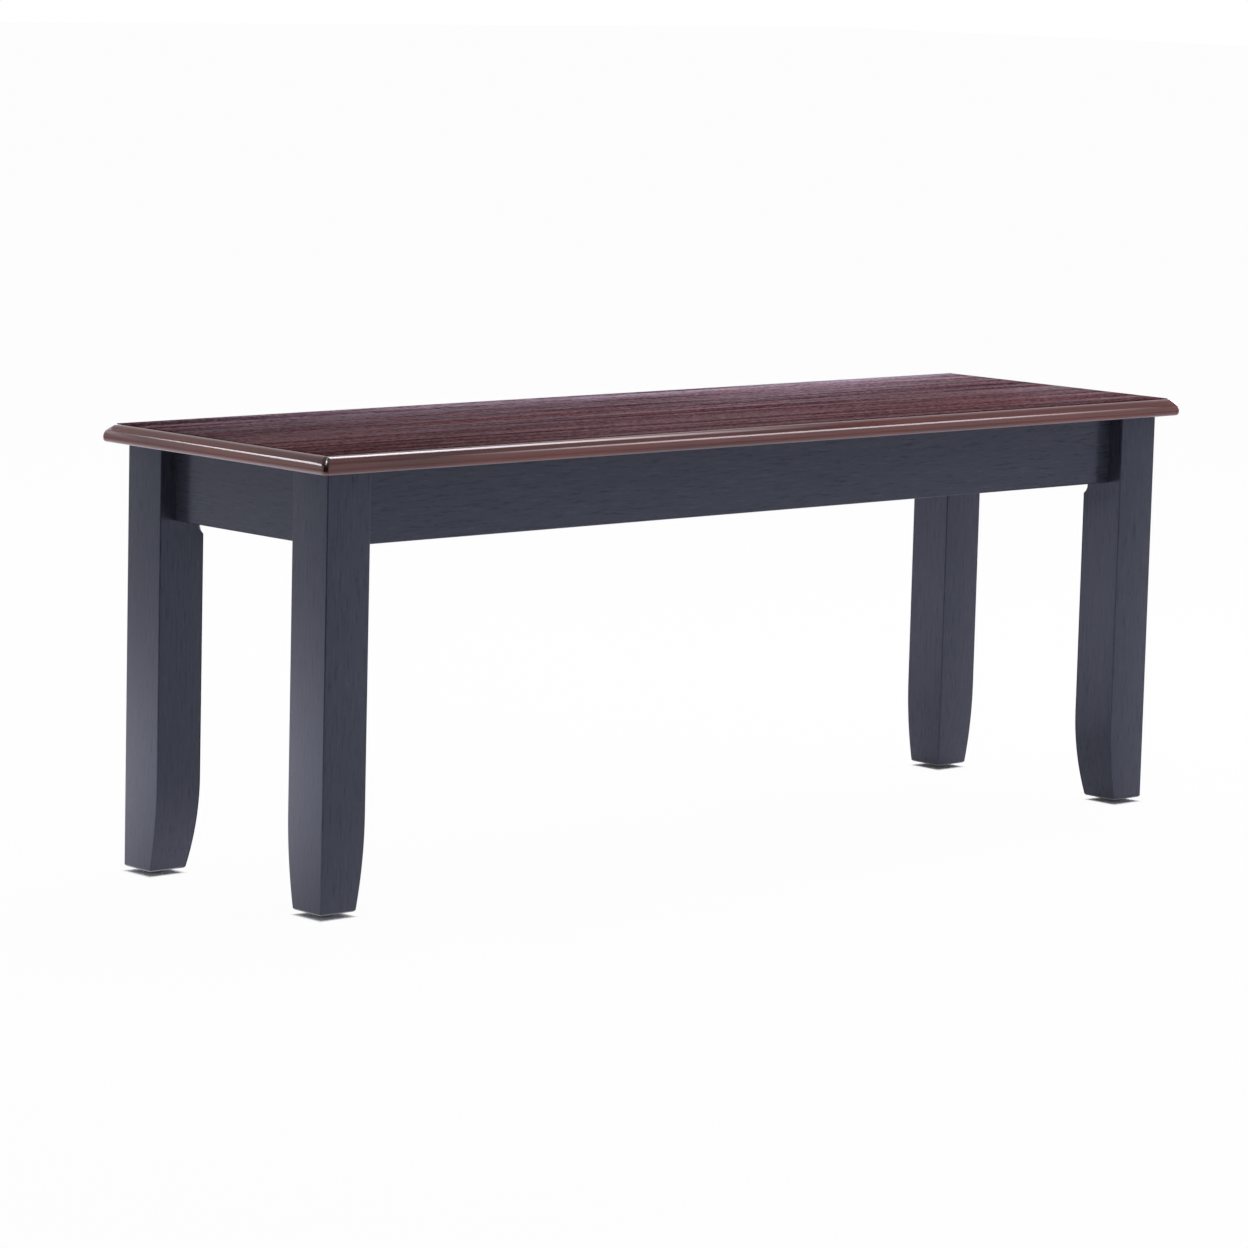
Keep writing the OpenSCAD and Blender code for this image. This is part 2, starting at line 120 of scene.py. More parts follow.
def colour_property(name, description, code):
    """A colour, given as an sRGB hex code and kept linear."""
    return bpy.props.FloatVectorProperty(
        name=name, description=description, default=linear(code), size=4, min=0.0, max=1.0, subtype="COLOR"
    )


class MouldingSizes(bpy.types.PropertyGroup):
    """Section of the edge moulding, from the arris beside the seat field out to the nose"""
    width: length_property("Width", "From the arris to the nose", 11.5 * MM)
    field_step: length_property("Field step", "How far the shoulder starts below the seat field", 0.6 * MM)
    shoulder_drop: length_property("Shoulder drop", "From the seat field down to the shoulder's foot", 6.7 * MM)
    shoulder_inset: length_property("Shoulder inset", "Where the shoulder ends, in from the nose", 2.2 * MM)
    shoulder_start: angle_property("Shoulder start", "Slope of the shoulder at the arris", 9)
    shoulder_turn: angle_property("Shoulder turn", "Slope where the shoulder grows nearly straight", 45)
    shoulder_finish: angle_property("Shoulder finish", "Slope at the foot of the shoulder", 47)
    step: length_property("Step", "Height of the small upright step above the bead", 0.4 * MM)
    bead_radius: length_property("Bead radius", "Radius of the bead", 11.9 * MM)
    nose_height: length_property("Nose height", "Height of the nose above the underside", 4.9 * MM)
    bead_foot: length_property("Bead foot", "Radius under the bead", 2.2 * MM)
    corner_radius: length_property("Corner radius", "Rounding of the mitred corners", 6.0 * MM)
    tongue_thickness: length_property("Tongue thickness", "Thickness of the tongue in the board", 4 * MM)
    tongue_length: length_property("Tongue length", "Length of the tongue in the board", 5 * MM)


class LegSizes(bpy.types.PropertyGroup):
    """Square leg with two inner faces that curve in towards the foot"""
    taper_height: length_property("Taper height", "Height over which the inner faces curve in", 95 * MM)
    taper_depth: length_property("Taper depth", "How far each inner face comes in", 9.9 * MM)
    arris_radius: length_property("Arris radius", "Rounding of the long edges", 1.5 * MM)
    foot_bevel: length_property("Foot bevel", "Bevel around the foot", 1.4 * MM)
    corner_flat: length_property("Corner flat", "Flat on the inner corner, along each face", 5.5 * MM)
    cutter_radius: length_property("Cutter radius", "Run-out at the lower end of that flat", 11 * MM)
    flat_tail: length_property("Flat tail", "From the apron's lower edge to the run-out", 6.5 * MM)


class GlideSizes(bpy.types.PropertyGroup):
    """Turned glide nailed under each leg"""
    rim_radius: length_property("Rim radius", "Rounding of the lower rim", 1.7 * MM)
    nail_recess: length_property("Nail recess", "Depth of the hole for the nail's head", 2.4 * MM)
    nail_clearance: length_property("Nail clearance", "Room around the nail's head", 0.15 * MM)


class FinishColours(bpy.types.PropertyGroup):
    """Colours of the finishes"""
    veneer_dark: colour_property("Veneer dark", "Dark grain of the seat field", "341A1E")
    veneer_light: colour_property("Veneer light", "Light grain of the seat field", "5C3436")
    moulding_dark: colour_property("Moulding dark", "Dark grain of the edge moulding", "451A18")
    moulding_light: colour_property("Moulding light", "Light grain of the edge moulding", "6E322B")
    # Painted shade: a dark colour laid into the rounded mitre corners of the moulding, standing in for the dark
    # they mirror.
    mitre_painted_shade: colour_property("Moulding mitre", "Painted dark reflection in the mitres", "260E0A")
    # Painted reflection: a pale colour laid along the lower rim of the moulding, standing in for the floor
    # mirrored there.
    moulding_painted_rim: colour_property("Moulding rim reflection", "Painted pale reflection along the lower rim of the moulding", "8A767C")
    moulding_sheen: colour_property("Moulding sheen", "Tint of the soft sheen on the moulding", "DCD2FF")
    lacquer: colour_property("Lacquer", "Black lacquer of the frame", "33353F")
    lacquer_pore: colour_property("Lacquer pore", "Open pores in the black lacquer", "25262F")
    lacquer_fleck: colour_property("Lacquer fleck", "Faint flecks along the grain of the lacquer", "3B3D47")
    lacquer_gloss: colour_property("Lacquer gloss", "Tint of the gloss on the black lacquer", "D8E0FF")


class StageSettings(bpy.types.PropertyGroup):
    """Camera and studio"""
    camera_place: bpy.props.FloatVectorProperty(
        name="Camera place", description="Where the camera stands", default=(-3.58234, -3.86066, 0.96862),
        subtype="TRANSLATION", unit="LENGTH"
    )
    camera_turn: angle_property("Camera turn", "Turn of the view from +Y towards +X", 42.403)
    camera_dip: angle_property("Camera dip", "How far the view looks down", 8.0354)
    camera_roll: angle_property("Camera roll", "Roll of the view", 1.4565)
    camera_lens: bpy.props.FloatProperty(
        name="Lens", description="Focal length on a 36 mm sensor", default=144.35, subtype="DISTANCE_CAMERA"
    )
    fill: bpy.props.FloatProperty(
        name="Fill", description="Soft light from all round", default=0.38, min=0.0
    )
    backdrop: colour_property("Backdrop", "Floor and backdrop", "EEF0F6")


class Glow(NamedTuple):
    """One studio panel: its centre, its two half sides, its radiance in the middle, the share of each half
    side over which that fades out, its colour, whether one sees through its glow, and whether only gloss
    gets its light."""
    name: str
    centre: tuple
    half_across: tuple
    half_up: tuple
    radiance: float
    fades: tuple
    colour: str = "FFF8FF"
    clear: bool = False
    gloss_only: bool = True


# The softboxes draw the lines along the moulding. The cards stand low behind the seat, where the field
# mirrors them at a grazing angle, and the reflector lies where the left faces mirror the floor.
GLOWS = (
    Glow("softbox_shoulder", (1.10, 0.55, 2.45), (1.06, -0.58, 0), (0, 0.60, 0), 11.0, (1.0, 0.35),
         gloss_only=False),
    Glow("softbox_bead", (2.45, -1.60, 2.45), (1.00, 0, 0), (0, -0.38, -0.38), 8.8, (0.75, 0.15),
         gloss_only=False),
    Glow("softbox_left", (-1.76, 2.35, 1.97), (0.50, 0.48, 0.42), (-0.17, 0, -0.21), 11.5, (0.35, 0.15),
         gloss_only=False),
    Glow("softbox_corner", (-0.78, -0.22, 2.45), (0.50, 0.47, 0), (0.10, -0.11, 0), 18.0, (0.2, 0.2)),
    Glow("gloss_card", (0.80, 0.32, 0.470), (1.29, 0, 0.020), (0, 0, 0.039), 21.5, (0.6, 0.3), "EEDFF8"),
    Glow("gloss_strip", (0.03, 0.20, 0.4655), (0.72, 0, 0), (0, 0, 0.010), 15.5, (0.5, 0.3), "E8E0FF",
         clear=True),
    Glow("gloss_end_card", (1.02, 0.15, 0.495), (0.40, 0, 0), (0, 0, 0.06), 3.5, (0.4, 0.3), "E0E2FF",
         clear=True),
    Glow("floor_reflector", (-1.18, 0.51, 0.004), (1.5, 0, 0), (0, 1.5, 0), 1.45, (1.0, 1.0), clear=True),
)
BLACK_FLAG = Glow("black_flag", (-1.25, -0.95, 0.75), (0.80, -0.70, 0), (0, 0, 0.75), 0.0, (0.1, 0.1))

# Lamps near the floor: name, place, target, width, depth and power in watts.
LOW_LAMPS = (
    ("low_lamp_front", (0.2, -1.5, 0.04), (0, -0.18, 0.45), 2.4, 0.8, 9.0),
    ("low_lamp_left", (-2.0, 0.1, 0.04), (-0.61, 0, 0.45), 1.2, 0.8, 6.0),
)

# The world seen by gloss: white up to the first height of a direction, the overhead grey from the second.
OVERHEAD_HEIGHTS = (0.42, 0.72)
OVERHEAD_GREY = 0.30

# The floor seen by the camera: its own shadow up to the first distance from a foot's middle, and the
# backdrop's share of white from the second. Gloss sees more of that white away from the front right.
FLOOR_HALF = 30.0
FOOT_SHADOW = (18.0 * MM, 25.5 * MM)
FLOOR_WHITE = 0.97
DIM_CENTRE = (3.7, -3.0, 0)
DIM_DISTANCES = (1.2, 2.6)
GLOSS_WHITE = 0.40


def mesh_object(name, points, faces):
    """A smooth object from an array of points and a list of faces, sharp where faces meet at a large angle."""
    mesh = bpy.data.meshes.new(name)
    mesh.from_pydata(points.tolist(), [], faces)
    mesh.polygons.foreach_set("use_smooth", np.ones(len(mesh.polygons), dtype=bool))
    mesh.set_sharp_from_angle(angle=SHARP_ANGLE)
    mesh.validate()
    thing = bpy.data.objects.new(name, mesh)
    bpy.context.scene.collection.objects.link(thing)
    return thing


def strip_faces(rows, columns):
    """Quads of a grid of rows by columns whose columns close into a ring: each joins a point, the next
    one along its row, and the same two in the next row."""
    row, column = np.meshgrid(np.arange(rows - 1), np.arange(columns), indexing="ij")
    after = (column + 1) % columns
    quads = np.stack([
        row * columns + column, row * columns + after,
        (row + 1) * columns + after, (row + 1) * columns + column,
    ], axis=-1)
    return quads.reshape(-1, 4)


def closed_tube(name, grid, flip=False):
    """An object from a grid of closed rings: quads between the rings and one face over each end."""
    rows, columns = grid.shape[:2]
    quads = strip_faces(rows, columns)
    first = np.arange(columns)[::-1]
    last = np.arange(columns) + (rows - 1) * columns
    if flip:
        quads, first, last = quads[:, ::-1], first[::-1], last[::-1]
    faces = quads.tolist() + [first.tolist(), last.tolist()]
    return mesh_object(name, grid.reshape(-1, 3), faces)


def arc(centre, radius, start, stop, steps):
    """Points of a circle from one angle to another: centre plus radius times cosine and sine."""
    angle = np.linspace(start, stop, steps)
    return np.stack([centre[0] + radius * np.cos(angle), centre[1] + radius * np.sin(angle)], axis=-1)


def moulding_profile(sizes, thickness):
    """Closed outline of the moulding's section, as distance out from the arris and height above the
    underside. The shoulder is two arcs whose slopes run from start to turn and from turn to finish; their
    radii solve two equations, one for the shoulder's width and one for its drop. The bead is a circle
    about a centre at nose height, and a smaller circle rounds it into the underside."""
    width, quarter = sizes.width, math.pi / 2
    reach, top = width - sizes.shoulder_inset, thickness - sizes.field_step
    drop = sizes.shoulder_drop - sizes.field_step
    start, turn, finish = sizes.shoulder_start, sizes.shoulder_turn, sizes.shoulder_finish
    equations = np.array([
        [math.sin(turn) - math.sin(start), math.sin(finish) - math.sin(turn)],
        [math.cos(start) - math.cos(turn), math.cos(turn) - math.cos(finish)],
    ])
    upper, lower = np.linalg.solve(equations, [reach, drop])
    first_centre = (-upper * math.sin(start), top - upper * math.cos(start))
    first = arc(first_centre, upper, quarter - start, quarter - turn, SHOULDER_STEPS[0])
    along = (upper - lower) * np.array([math.sin(turn), math.cos(turn)])
    second_centre = (first_centre[0] + along[0], first_centre[1] + along[1])
    second = arc(second_centre, lower, quarter - turn, quarter - finish, SHOULDER_STEPS[1])[1:]
    step_foot = top - drop - sizes.step
    bead_centre = (width - sizes.bead_radius, sizes.nose_height)
    top_angle = math.asin((step_foot - sizes.nose_height) / sizes.bead_radius)
    foot = sizes.bead_foot
    foot_angle = -math.asin((sizes.nose_height - foot) / (sizes.bead_radius - foot))
    bead = arc(bead_centre, sizes.bead_radius, top_angle, foot_angle, BEAD_STEPS)
    foot_centre = (bead_centre[0] + (sizes.bead_radius - foot) * math.cos(foot_angle), foot)
    under = arc(foot_centre, foot, foot_angle, -quarter, BEAD_FOOT_STEPS)[1:]
    middle, half = thickness / 2, sizes.tongue_thickness / 2
    inner = np.array([
        (0, 0), (0, middle - half), (-sizes.tongue_length, middle - half),
        (-sizes.tongue_length, middle + half), (0, middle + half),
    ])
    step = np.array([(reach, step_foot)])
    return np.concatenate([first, second, step, bead, under, inner])


def moulding_run(name, sizes, run, reach, base, thickness, quarter_turns):
    """One mitred length of moulding. The profile is carried along X; at each end a point lies as far in
    from the nose's corner as it lies in from the nose, which makes the 45 degree mitre. Each end is rounded
    by half a quarter circle, whose radius is full over the outer half of the width and falls from there to
    almost nothing at the arris. The whole is then turned by quarter turns about Z."""
    profile = moulding_profile(sizes, thickness)
    inset = (sizes.width - profile[:, 0])[None, :]
    radius = sizes.corner_radius * np.clip(2.0 * (1 - inset / sizes.width), 0.01, 1.0)
    turn = np.linspace(0, math.pi / 4, MITRE_STEPS)[1:, None]
    end_x = run / 2 - inset - radius * (1 - np.sin(turn))
    end_inset = inset + radius * (1 - np.cos(turn))
    middle_x = np.linspace(-1, 1, RUN_STEPS)[:, None] * (run / 2 - inset - radius)
    x = np.concatenate([-end_x[::-1], middle_x, end_x])
    y = np.concatenate([end_inset[::-1], np.broadcast_to(inset, middle_x.shape), end_inset]) - reach
    z = np.broadcast_to(base + profile[:, 1], x.shape)
    cosine, sine = ((1, 0), (0, 1), (-1, 0), (0, -1))[quarter_turns]
    grid = np.stack([x * cosine - y * sine, x * sine + y * cosine, z], axis=-1)
    return closed_tube(name, grid)


def leg_grid(sizes, width, low, high, flat_low):
    """Rings of the leg around its own height, outer corner on the Z axis. Each ring is a square whose inner
    sides lie at the width, or on the curve below the taper: a circle tangent to the upright face at the
    taper's top. Its corners are quarter circles, and the inner one opens into two eighths joined by a flat.
    The flat is full above its lower end and follows the cutter's circle below it. The foot's bevel draws
    every side in alike."""
    depth, rise = sizes.taper_depth, sizes.taper_height
    curve = (depth ** 2 + rise ** 2) / (2 * depth)
    taper_top = low + rise
    full = sizes.corner_flat / math.sqrt(2)
    tail = math.sqrt(sizes.cutter_radius ** 2 - (sizes.cutter_radius - full) ** 2)
    heights = np.concatenate([
        [low],
        low + sizes.foot_bevel + (rise - sizes.foot_bevel) * np.linspace(0, 1, TAPER_STEPS),
        np.linspace(taper_top, flat_low - tail, POST_STEPS)[1:],
        flat_low - tail + tail * np.linspace(0, 1, CUTTER_STEPS)[1:],
        np.linspace(flat_low, high, TOP_STEPS)[1:],
    ])
    below = np.clip(taper_top - heights, 0, None)
    side = width - curve + np.sqrt(curve ** 2 - below ** 2)
    bevel = np.clip(low + sizes.foot_bevel - heights, 0, None)
    under = np.clip(flat_low - heights, 0, tail)
    cut = np.clip(full - sizes.cutter_radius + np.sqrt(sizes.cutter_radius ** 2 - under ** 2), 0, None)
    cut = cut * math.sqrt(2)

    radius, quarter = sizes.arris_radius, math.pi / 2
    near, far = bevel[:, None], (side - bevel)[:, None]
    ease = cut[:, None] + radius
    eighth = far - ease - radius * (math.sqrt(2) - 2)

    def corner(centre_x, centre_y, start, stop):
        """One rounded corner of every ring."""
        angle = np.linspace(start, stop, ARRIS_STEPS)[None, :]
        return centre_x + radius * np.cos(angle), centre_y + radius * np.sin(angle)

    pieces = [
        corner(near + radius, near + radius, 2 * quarter, 3 * quarter),
        corner(far - radius, near + radius, 3 * quarter, 4 * quarter),
        corner(far - radius, eighth, 0, quarter / 2),
        corner(eighth, far - radius, quarter / 2, quarter),
        corner(near + radius, far - radius, quarter, 2 * quarter),
    ]
    x = np.concatenate([piece[0] for piece in pieces], axis=1)
    y = np.concatenate([piece[1] for piece in pieces], axis=1)
    z = np.broadcast_to(heights[:, None], x.shape)
    return np.stack([x, y, z], axis=-1)


def turned_surface(name, outline, centre):
    """A closed turned piece: the outline's radius and height swept round a full circle about a centre."""
    angle = np.linspace(0, 2 * math.pi, TURNED_STEPS + 1)[:-1]
    radius, height = outline[:, 0][:, None], outline[:, 1][:, None]
    x = centre[0] + radius * np.cos(angle)[None, :]
    y = centre[1] + radius * np.sin(angle)[None, :]
    z = np.broadcast_to(height, x.shape)
    grid = np.stack([x, y, z], axis=-1)
    rows, columns = grid.shape[:2]
    last, here = (rows - 1) * columns, np.arange(columns)
    after = (here + 1) % columns
    closing = np.stack([last + here, last + after, after, here], axis=-1)
    faces = np.concatenate([strip_faces(rows, columns), closing]).tolist()
    return mesh_object(name, grid.reshape(-1, 3), faces)


def new_material(name):
    """An empty node material and its tree."""
    material = bpy.data.materials.new(name)
    material.use_nodes = True
    material.node_tree.nodes.clear()
    return material, material.node_tree


def add_node(tree, kind, inputs=None, ramp=None, **settings):
    """Adds one node, sets its own settings and its inputs: a socket is linked, anything else is a value."""
    node = tree.nodes.new(kind)
    for key, value in settings.items():
        setattr(node, key, value)
    for key, value in (inputs or {}).items():
        if isinstance(value, bpy.types.NodeSocket):
            tree.links.new(value, node.inputs[key])
        else:
            node.inputs[key].default_value = value
    if ramp:
        elements = node.color_ramp.elements
        while len(elements) > 1:
            elements.remove(elements[-1])
        for place, (position, colour) in enumerate(ramp):
            element = elements[0] if place == 0 else elements.new(position)
            element.position = position
            element.color = tuple(colour)
    return node


def compute(tree, operation, *values):
    """One step of arithmetic on numbers."""
    return add_node(tree, "ShaderNodeMath", dict(enumerate(values)), operation=operation).outputs[0]


def compute_vector(tree, operation, *values):
    """One step of arithmetic on vectors. A distance comes out as a number."""
    node = add_node(tree, "ShaderNodeVectorMath", dict(enumerate(values)), operation=operation)
    return node.outputs["Value" if operation == "DISTANCE" else "Vector"]


def axes_of(tree, vector):
    """The X, Y and Z of a vector, as outputs by those names."""
    return add_node(tree, "ShaderNodeSeparateXYZ", {"Vector": vector}).outputs


def remap(tree, value, start, stop, low, high, smooth=False):
    """Carries a value from start and stop to low and high, and holds it at both ends."""
    return add_node(tree, "ShaderNodeMapRange", {
        "Value": value, "From Min": start, "From Max": stop, "To Min": low, "To Max": high,
    }, interpolation_type="SMOOTHSTEP" if smooth else "LINEAR").outputs["Result"]


def mix(tree, share, first, second):
    """A number between two others."""
    return add_node(tree, "ShaderNodeMix", {"Factor": share, "A": first, "B": second}).outputs[0]


def mix_colours(tree, share, first, second, blend="MIX"):
    """A colour between two others, or another blend of them."""
    return add_node(tree, "ShaderNodeMix", {
        "Factor": share, 6: first, 7: second,
    }, data_type="RGBA", blend_type=blend).outputs[2]


def colour_ramp(tree, value, *stops):
    """The colour at a value's place between stops, each a place and its colour."""
    return add_node(tree, "ShaderNodeValToRGB", {"Fac": value}, ramp=stops).outputs["Color"]


def bump(tree, height, distance, strength):
    """Normals of a surface that a height between 0 and 1 raises by up to a distance."""
    return add_node(tree, "ShaderNodeBump", {
        "Height": height, "Distance": distance, "Strength": strength,
    }).outputs["Normal"]


def finish_surface(tree, shader):
    """Ends a tree in one shader."""
    add_node(tree, "ShaderNodeOutputMaterial", {"Surface": shader})


def finish_principled(tree, inputs):
    """Ends a tree in one principled shader."""
    finish_surface(tree, add_node(tree, "ShaderNodeBsdfPrincipled", inputs).outputs["BSDF"])


def grey(value):
    """A grey with alpha."""
    return (value, value, value, 1.0)


def object_place(tree):
    """Object coordinates, which are the frame's own metres."""
    return add_node(tree, "ShaderNodeTexCoord").outputs["Object"]


def grain_space(tree, axis, offset=0.0):
    """Object coordinates turned so that the grain runs along their own X."""
    return add_node(tree, "ShaderNodeMapping", {
        "Vector": object_place(tree), "Rotation": GRAIN_TURN[axis], "Location": (offset, offset, offset),
    }).outputs["Vector"]


def grain(tree, space, cells, detail, roughness=0.5, output="Fac"):
    """Noise drawn out along the grain: cells per metre along it and across it."""
    stretched = add_node(tree, "ShaderNodeMapping", {"Vector": space, "Scale": cells}).outputs["Vector"]
    return add_node(tree, "ShaderNodeTexNoise", {
        "Vector": stretched, "Scale": 1.0, "Detail": detail, "Roughness": roughness,
    }).outputs[output]


def clouds(tree, cells, detail):
    """Even noise: cells per metre."""
    return add_node(tree, "ShaderNodeTexNoise", {
        "Vector": object_place(tree), "Scale": cells, "Detail": detail,
    }).outputs["Fac"]


def seat_veneer(colours):
    """Dark stained veneer under a thin satin finish: short red-brown streaks along the seat, fine dark
    pores, and a finish that lies thicker in some streaks, so that its sheen is mottled where the eye skims
    it."""
    material, tree = new_material("satin_stained_veneer")
    space = grain_space(tree, "X")
    warp = grain(tree, space, (1.6, 9, 9), 3.0, output="Color")
    bent = compute_vector(tree, "ADD", space, compute_vector(tree, "MULTIPLY", warp, (0.0, 6 * MM, 0.0)))
    streaks = grain(tree, bent, (1.2, 75, 75), 6.0, 0.72)
    flecks = grain(tree, bent, (210, 300, 300), 2.0, 0.6)
    pores = grain(tree, bent, (70, 700, 700), 2.0, 0.6)
    wood = colour_ramp(tree, streaks, (0.42, colours.veneer_dark), (0.58, colours.veneer_light))
    tone = remap(tree, flecks, 0.34, 0.66, 0.5, 1.5)
    film = grain(tree, bent, (1.3, 80, 80), 6.0, 0.72)
    film_weight = remap(tree, mix(tree, 0.3, film, flecks), 0.43, 0.57, 0.005, 0.14)
    finish_principled(tree, {
        "Base Color": mix_colours(tree, 1.0, wood, tone, "MULTIPLY"), "Roughness": 0.6,
        "Normal": bump(tree, pores, 0.2 * MM, 0.5), "Specular IOR Level": 0.0,
        "Coat Weight": film_weight, "Coat Roughness": 0.42, "Coat IOR": 1.5,
    })
    return material


def moulding_wood(colours, axis):
    """Stained solid wood under a glossy lacquer: soft brown grain along each length, a painted dark reflection in
    the rounded mitres, a painted pale reflection of the floor along the lower rim, and a clear coat that carries
    the studio lamps as sharp lines."""
    material, tree = new_material("gloss_stained_moulding_" + axis.lower())
    space = grain_space(tree, axis, 0.37)
    low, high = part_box("moulding_right")
    folded = axes_of(tree, compute_vector(tree, "ABSOLUTE", object_place(tree)))
    aside = compute(tree, "SUBTRACT", folded["X"], folded["Y"])
    from_mitre = compute(tree, "ABSOLUTE", compute(tree, "SUBTRACT", aside, high.x - high.y))
    # Painted shade: near each rounded mitre the colour turns dark, except close to the underside. This stands in
    # for the dark that corner mirrors.
    clear_of_mitre = remap(tree, from_mitre, 2.4 * MM, 5.4 * MM, 0.0, 1.0)
    near_underside = remap(tree, folded["Z"], low.z + 2.5 * MM, low.z + 4.5 * MM, 1.0, 0.0)
    outside_mitre_shade = compute(tree, "MAXIMUM", clear_of_mitre, near_underside)
    # Painted reflection: a pale grey mauve is mixed into the colour along the lower rim, standing in for the
    # floor mirrored there.
    painted_rim_reflection = remap(tree, folded["Z"], low.z + 0.9 * MM, low.z + 2.9 * MM, 0.6, 0.0)
    streaks = grain(tree, space, (3.5, 170, 170), 5.0, 0.6)
    patches = grain(tree, space, (5, 30, 30), 2.0)
    wood = colour_ramp(
        tree, mix(tree, 0.4, streaks, patches), (0.36, colours.moulding_dark), (0.64, colours.moulding_light))
    wood_and_mitre_shade = mix_colours(tree, outside_mitre_shade, tuple(colours.mitre_painted_shade), wood)
    finish_principled(tree, {
        "Base Color": mix_colours(tree, painted_rim_reflection, wood_and_mitre_shade, tuple(colours.moulding_painted_rim)), "Roughness": 0.5,
        "Normal": bump(tree, streaks, 0.03 * MM, 0.5), "Specular IOR Level": 0.1,
        "Coat Weight": 1.0, "Coat Roughness": 0.08, "Coat IOR": 1.5,
        "Sheen Weight": 0.2, "Sheen Roughness": 0.3, "Sheen Tint": tuple(colours.moulding_sheen),
    })
    return material


def black_lacquer(colours, axis):
    """Black open-pore lacquer on wood: near black, with a cool satin reflection broken by short pores
    along the grain."""
    material, tree = new_material("black_open_pore_lacquer_" + axis.lower())
    space = grain_space(tree, axis, 0.61)
    pores = grain(tree, space, (45, 480, 480), 3.0, 0.65)
    streaks = grain(tree, space, (5, 160, 160), 4.0, 0.6)
    colour = colour_ramp(
        tree, pores, (0.33, colours.lacquer_pore), (0.45, colours.lacquer), (0.58, colours.lacquer),
        (0.68, colours.lacquer_fleck))
    height = mix(tree, 0.4, pores, streaks)
    finish_principled(tree, {
        "Base Color": colour, "Roughness": remap(tree, streaks, 0.3, 0.7, 0.18, 0.26),
        "Normal": bump(tree, height, 0.12 * MM, 0.4), "IOR": 1.52,
        "Specular Tint": tuple(colours.lacquer_gloss),
    })
    return material


def sawn_wood(axis):
    """Unfinished sawn hardwood of the blocks and the rail: pale, matt, with the saw's faint stripes."""
    material, tree = new_material("bare_sawn_hardwood_" + axis.lower())
    space = grain_space(tree, axis)
    streaks = grain(tree, space, (6, 110, 110), 5.0, 0.62)
    saw_marks = grain(tree, space, (420, 12, 12), 1.0)
    colour = colour_ramp(
        tree, streaks, (0.3, linear("A9855A")), (0.5, linear("C6A577")), (0.72, linear("D9BE93")))
    finish_principled(tree, {
        "Base Color": colour, "Roughness": 0.78,
        "Normal": bump(tree, mix(tree, 0.5, streaks, saw_marks), 0.2 * MM, 0.6), "Specular IOR Level": 0.3,
    })
    return material


def backing_board():
    """Board with a plain backing veneer, only sealed: even mid brown with faint long grain."""
    material, tree = new_material("sealed_backing_board")
    streaks = grain(tree, grain_space(tree, "X", 0.2), (4, 90, 90), 5.0, 0.6)
    finish_principled(tree, {
        "Base Color": colour_ramp(tree, streaks, (0.32, linear("8A6A4C")), (0.68, linear("A98865"))),
        "Roughness": 0.6, "Normal": bump(tree, streaks, 0.1 * MM, 0.5), "Specular IOR Level": 0.4,
    })
    return material


def plated_steel(name, code, rough_low, rough_high):
    """Plated steel: a bright metal whose plating clouds the gloss in small patches."""
    material, tree = new_material(name)
    patches = clouds(tree, 260.0, 3.0)
    tone = remap(tree, patches, 0.3, 0.7, 0.86, 1.0)
    finish_principled(tree, {
        "Base Color": mix_colours(tree, 1.0, linear(code), tone, "MULTIPLY"), "Metallic": 1.0,
        "Roughness": remap(tree, patches, 0.3, 0.7, rough_low, rough_high),
    })
    return material


def moulded_nylon():
    """Moulded nylon of the glides: dark grey, waxy, scuffed a little under the foot."""
    material, tree = new_material("moulded_nylon")
    scuffs = clouds(tree, 420.0, 4.0)
    finish_principled(tree, {
        "Base Color": colour_ramp(tree, scuffs, (0.35, linear("2B2A2E")), (0.6, linear("3A393E"))),
        "Roughness": remap(tree, scuffs, 0.3, 0.7, 0.34, 0.52), "IOR": 1.53,
    })
    return material


def dress(thing, material):
    """Gives an object that one material on all its faces."""
    thing.data.materials.clear()
    thing.data.materials.append(material)


def lacquer(axis):
    """The black lacquer with its grain along an axis, made once."""
    made = bpy.data.materials.get("black_open_pore_lacquer_" + axis.lower())
    return made or black_lacquer(bpy.context.scene.bench_finishes, axis)


def gloss_moulding(axis):
    """The moulding's finish with its grain along an axis, made once."""
    made = bpy.data.materials.get("gloss_stained_moulding_" + axis.lower())
    return made or moulding_wood(bpy.context.scene.bench_finishes, axis)


class BENCH_OT_mouldings(bpy.types.Operator):
    """Builds the four mitred lengths of edge moulding"""
    bl_idname = "bench.mouldings"
    bl_label = "Edge Mouldings"

    def execute(self, context):
        sizes = context.scene.bench_moulding
        front = box_size("moulding_front")
        side = box_size("moulding_left")
        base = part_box("moulding_front")[0].z
        runs = (
            ("front", 0, front.x, side.y / 2, "X"), ("right", 1, side.y, front.x / 2, "Y"),
            ("rear", 2, front.x, side.y / 2, "X"), ("left", 3, side.y, front.x / 2, "Y"),
        )
        for place, turns, run, reach, axis in runs:
            piece = moulding_run("edge_" + place, sizes, run, reach, base, front.z, turns)
            dress(piece, gloss_moulding(axis))
            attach(piece, "root")
            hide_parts("moulding_" + place)
        return {"FINISHED"}


class BENCH_OT_legs(bpy.types.Operator):
    """Builds the four square legs with curved inner faces"""
    bl_idname = "bench.legs"
    bl_label = "Legs"

    def execute(self, context):
        sizes = context.scene.bench_leg
        apron_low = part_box("apron_front")[0].z
        for end, side in CORNERS:
            node = f"leg_{end}_{side}"
            low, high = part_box(node)
            grid = leg_grid(sizes, high.x - low.x, low.z, high.z, apron_low - sizes.flat_tail)
            across = 1 if side == "left" else -1
            away = 1 if end == "front" else -1
            corner = (low.x if side == "left" else high.x, low.y if end == "front" else high.y)
            grid = grid * (across, away, 1) + (*corner, 0)
            piece = closed_tube(f"square_leg_{end}_{side}", grid, flip=across * away < 0)
            dress(piece, lacquer("Z"))
            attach(piece, "root")
            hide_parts(node)
        return {"FINISHED"}


